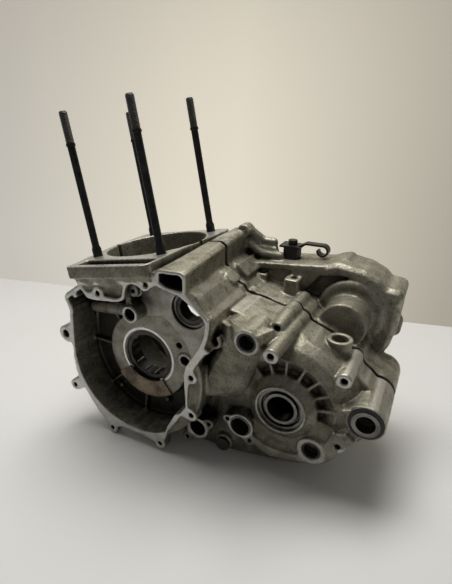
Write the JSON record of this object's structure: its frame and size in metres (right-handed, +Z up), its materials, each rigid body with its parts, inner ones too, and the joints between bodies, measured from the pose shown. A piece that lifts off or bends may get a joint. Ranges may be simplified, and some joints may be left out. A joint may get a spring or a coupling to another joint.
{
  "type": "engine crankcase",
  "caption": "Split aluminium crankcase with leaning cylinder deck and studs, open left cavity, gearbox, pivot bores and right clutch housing.",
  "frame": {"origin": "middle of the bounding box at its underside, where the case stands on its lowest edge", "axes": "+X to the rear, +Y to the right side, +Z up; the cylinder axis leans 10 degrees towards -X"},
  "size_m": [0.323, 0.1676, 0.3326],
  "materials": {
    "cast_case": "sand-cast and bead-finished, machined joint faces",
    "gasket": "dark fibre sheet",
    "black_stud": "black oxide",
    "black_rubber": "matt",
    "black_steel": "worn black paint",
    "tan_plate": "oil-browned sheet",
    "bearing_cage": "dull",
    "spring_steel": "bright",
    "bearing_steel": "ground"
  },
  "bodies": {
    "case": {"balancer_bearing_ring_left": "bearing_steel", "balancer_bearing_ring_right": "bearing_steel", "cable_guide": "black_steel", "case_gasket": "gasket", "chain_guide_pin": "bearing_steel", "cylinder_stud_front_left": "black_stud", "cylinder_stud_front_right": "black_stud", "cylinder_stud_rear_left": "black_stud", "cylinder_stud_rear_right": "black_stud", "dowel_sleeve_front": "bearing_steel", "dowel_sleeve_rear": "bearing_steel", "filter_sleeve": "bearing_steel", "guide_block": "black_rubber", "guide_bolt": "black_steel", "left_case_half": "cast_case", "main_bearing_ring_left": "bearing_steel", "main_bearing_ring_right": "bearing_steel", "main_shaft_bearing_right": "bearing_steel", "main_shaft_bush_left": "bearing_steel", "oil_guide_plate": "tan_plate", "output_bearing_outer": "bearing_steel", "output_bearing_right": "bearing_steel", "pivot_bush_left": "bearing_steel", "pivot_bush_right": "bearing_steel", "pivot_seal_left": "black_rubber", "pivot_seal_right": "black_rubber", "right_case_half": "cast_case", "rubber_plug": "black_rubber", "screen_seal": "black_rubber", "shift_shaft_seal": "black_rubber", "snap_ring_left": "spring_steel", "snap_ring_right": "spring_steel"},
    "main_rollers_left": {"main_bearing_cage_left": "bearing_cage", "main_bearing_rollers_left": "bearing_steel"},
    "main_rollers_right": {"main_bearing_cage_right": "bearing_cage", "main_bearing_rollers_right": "bearing_steel"},
    "balancer_rollers_left": {"balancer_bearing_cage_left": "bearing_cage", "balancer_bearing_rollers_left": "bearing_steel"},
    "balancer_rollers_right": {"balancer_bearing_cage_right": "bearing_cage", "balancer_bearing_rollers_right": "bearing_steel"},
    "output_inner": {"output_bearing_inner": "bearing_steel"},
    "output_balls": {"output_bearing_cage": "bearing_cage", "output_bearing_balls": "bearing_steel"}
  },
  "joints": [
    {"name": "main_left_spin", "type": "hinge", "parent": "case", "child": "main_rollers_left", "pos_m": [-0.071, -0.0402, 0.089], "axis": [0, 1, 0], "continuous": true},
    {"name": "main_right_spin", "type": "hinge", "parent": "case", "child": "main_rollers_right", "pos_m": [-0.071, 0.0438, 0.089], "axis": [0, 1, 0], "continuous": true},
    {"name": "balancer_left_spin", "type": "hinge", "parent": "case", "child": "balancer_rollers_left", "pos_m": [-0.0186, -0.0437, 0.1517], "axis": [0, 1, 0], "continuous": true},
    {"name": "balancer_right_spin", "type": "hinge", "parent": "case", "child": "balancer_rollers_right", "pos_m": [-0.0186, 0.0473, 0.1517], "axis": [0, 1, 0], "continuous": true},
    {"name": "output_spin", "type": "hinge", "parent": "case", "child": "output_inner", "pos_m": [0.0748, -0.0502, 0.0789], "axis": [0, 1, 0], "continuous": true},
    {"name": "output_balls_spin", "type": "hinge", "parent": "case", "child": "output_balls", "pos_m": [0.0748, -0.0502, 0.0789], "axis": [0, 1, 0], "continuous": true}
  ],
  "couplings": [
    {"joint": "output_balls_spin", "follows": "output_spin", "ratio": 0.4224}
  ]
}
